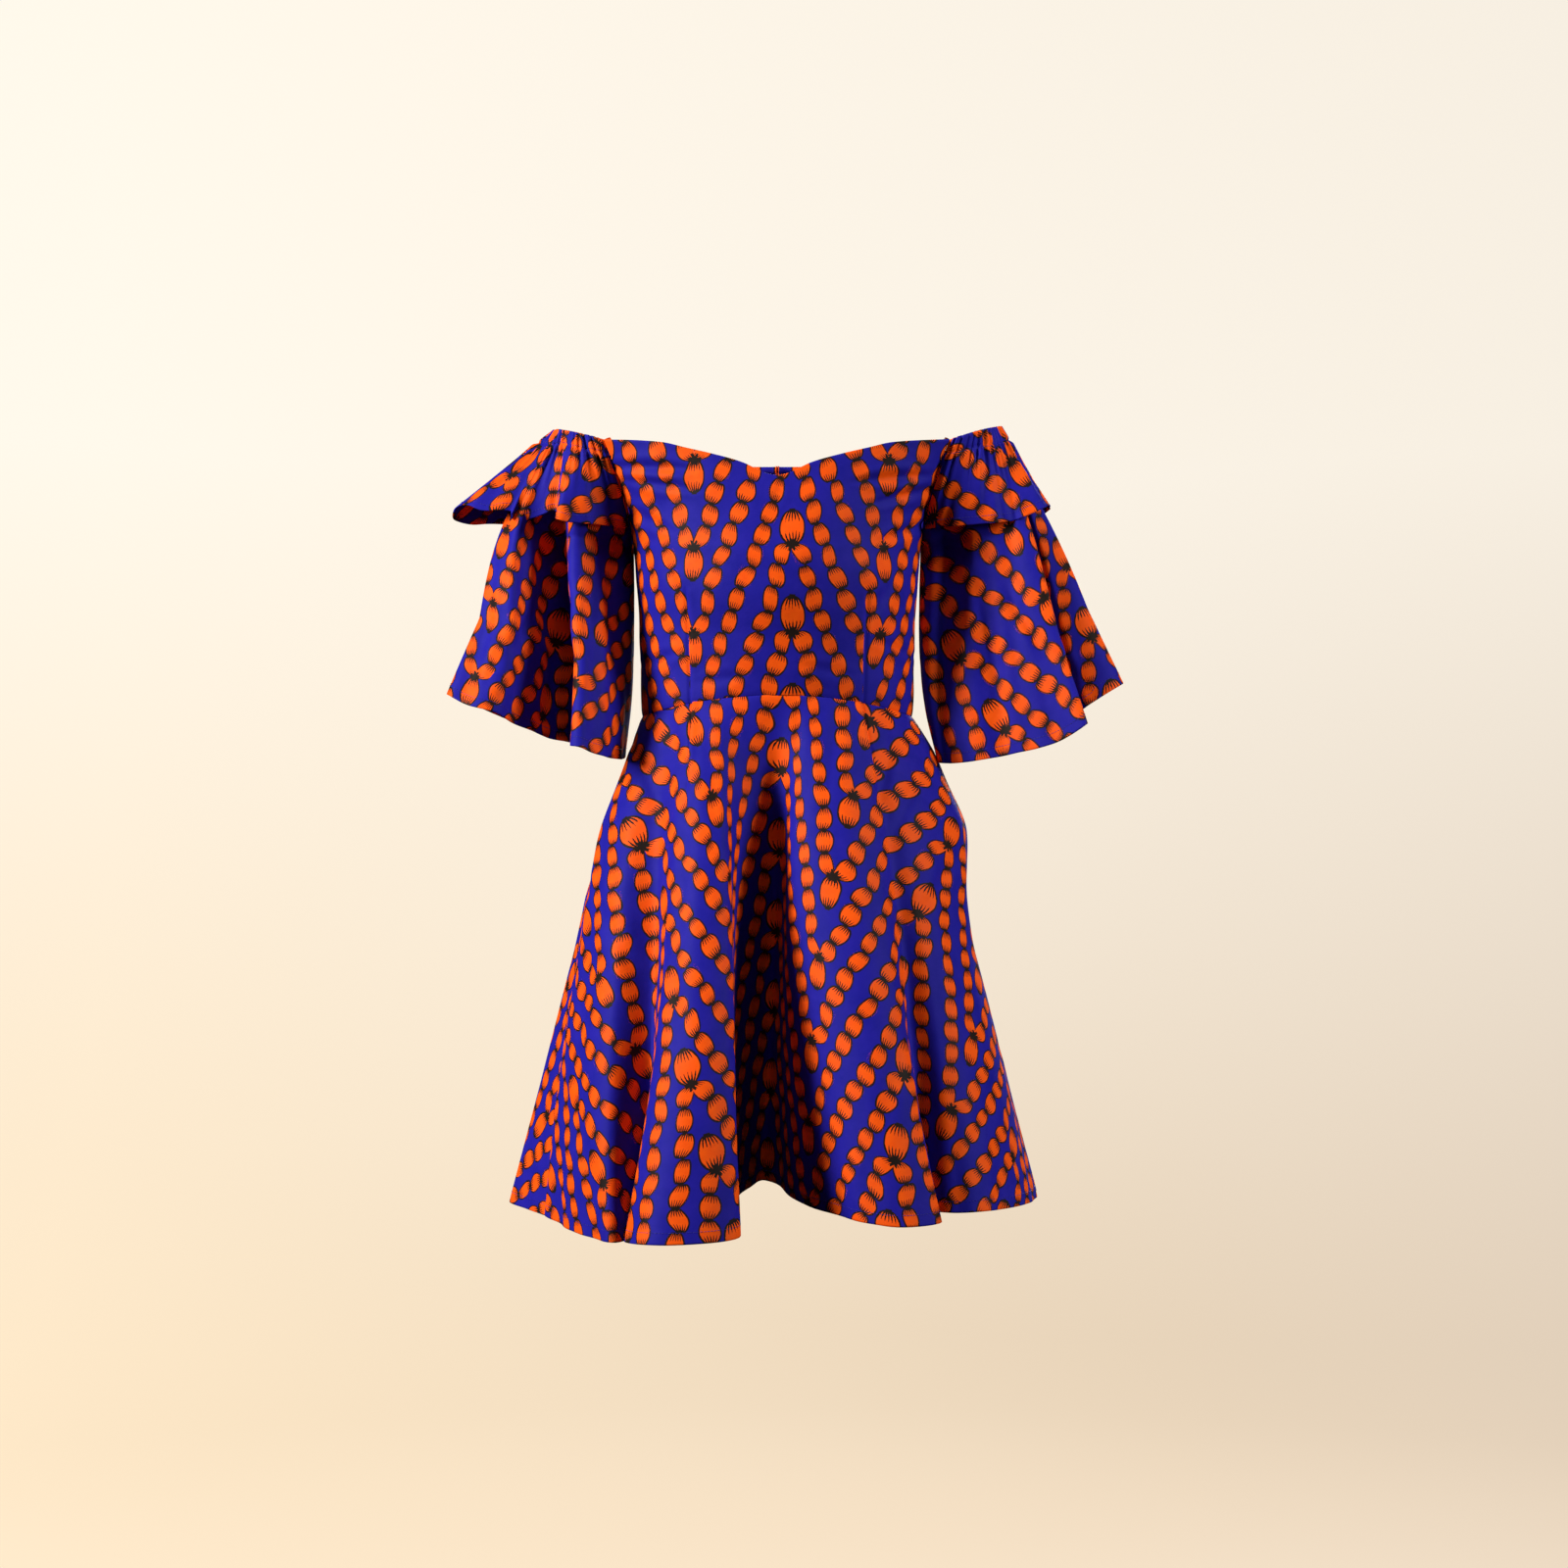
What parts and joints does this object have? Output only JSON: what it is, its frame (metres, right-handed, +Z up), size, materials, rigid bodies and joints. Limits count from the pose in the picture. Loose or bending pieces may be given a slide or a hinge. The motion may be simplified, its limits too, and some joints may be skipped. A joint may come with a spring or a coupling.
{
  "type": "off-shoulder ankara wax print dress",
  "caption": "Short off-shoulder dress in blue and orange wax print: fitted bodice with a soft V neckline, flared bell sleeves under circular flounces, and a part-circle skirt, worn and hollow",
  "frame": {"origin": "centre of the neckline ring, level with where the wearer's upper arms and bust hold the dress up", "axes": "+Z is up the wearer's body, the dress faces -Y, and +X is the wearer's left"},
  "size_m": [0.6515, 0.4711, 0.7715],
  "materials": {
    "wax_print": "plain-woven wax print cotton, royal blue with orange bead chains, faint dry sheen",
    "pocketing": "plain-woven cotton pocket bag, matt",
    "zip_tape": "woven zip tape with its closed coil hidden, matt"
  },
  "bodies": {
    "root": {"bodice_front": "wax_print", "bodice_back_left": "wax_print", "bodice_back_right": "wax_print", "sleeve_left": "wax_print", "sleeve_right": "wax_print", "flounce_left": "wax_print", "flounce_right": "wax_print", "skirt_front": "wax_print", "skirt_back_left": "wax_print", "skirt_back_right": "wax_print", "pocket_left": "pocketing", "pocket_right": "pocketing", "back_zip": "zip_tape"}
  },
  "joints": []
}
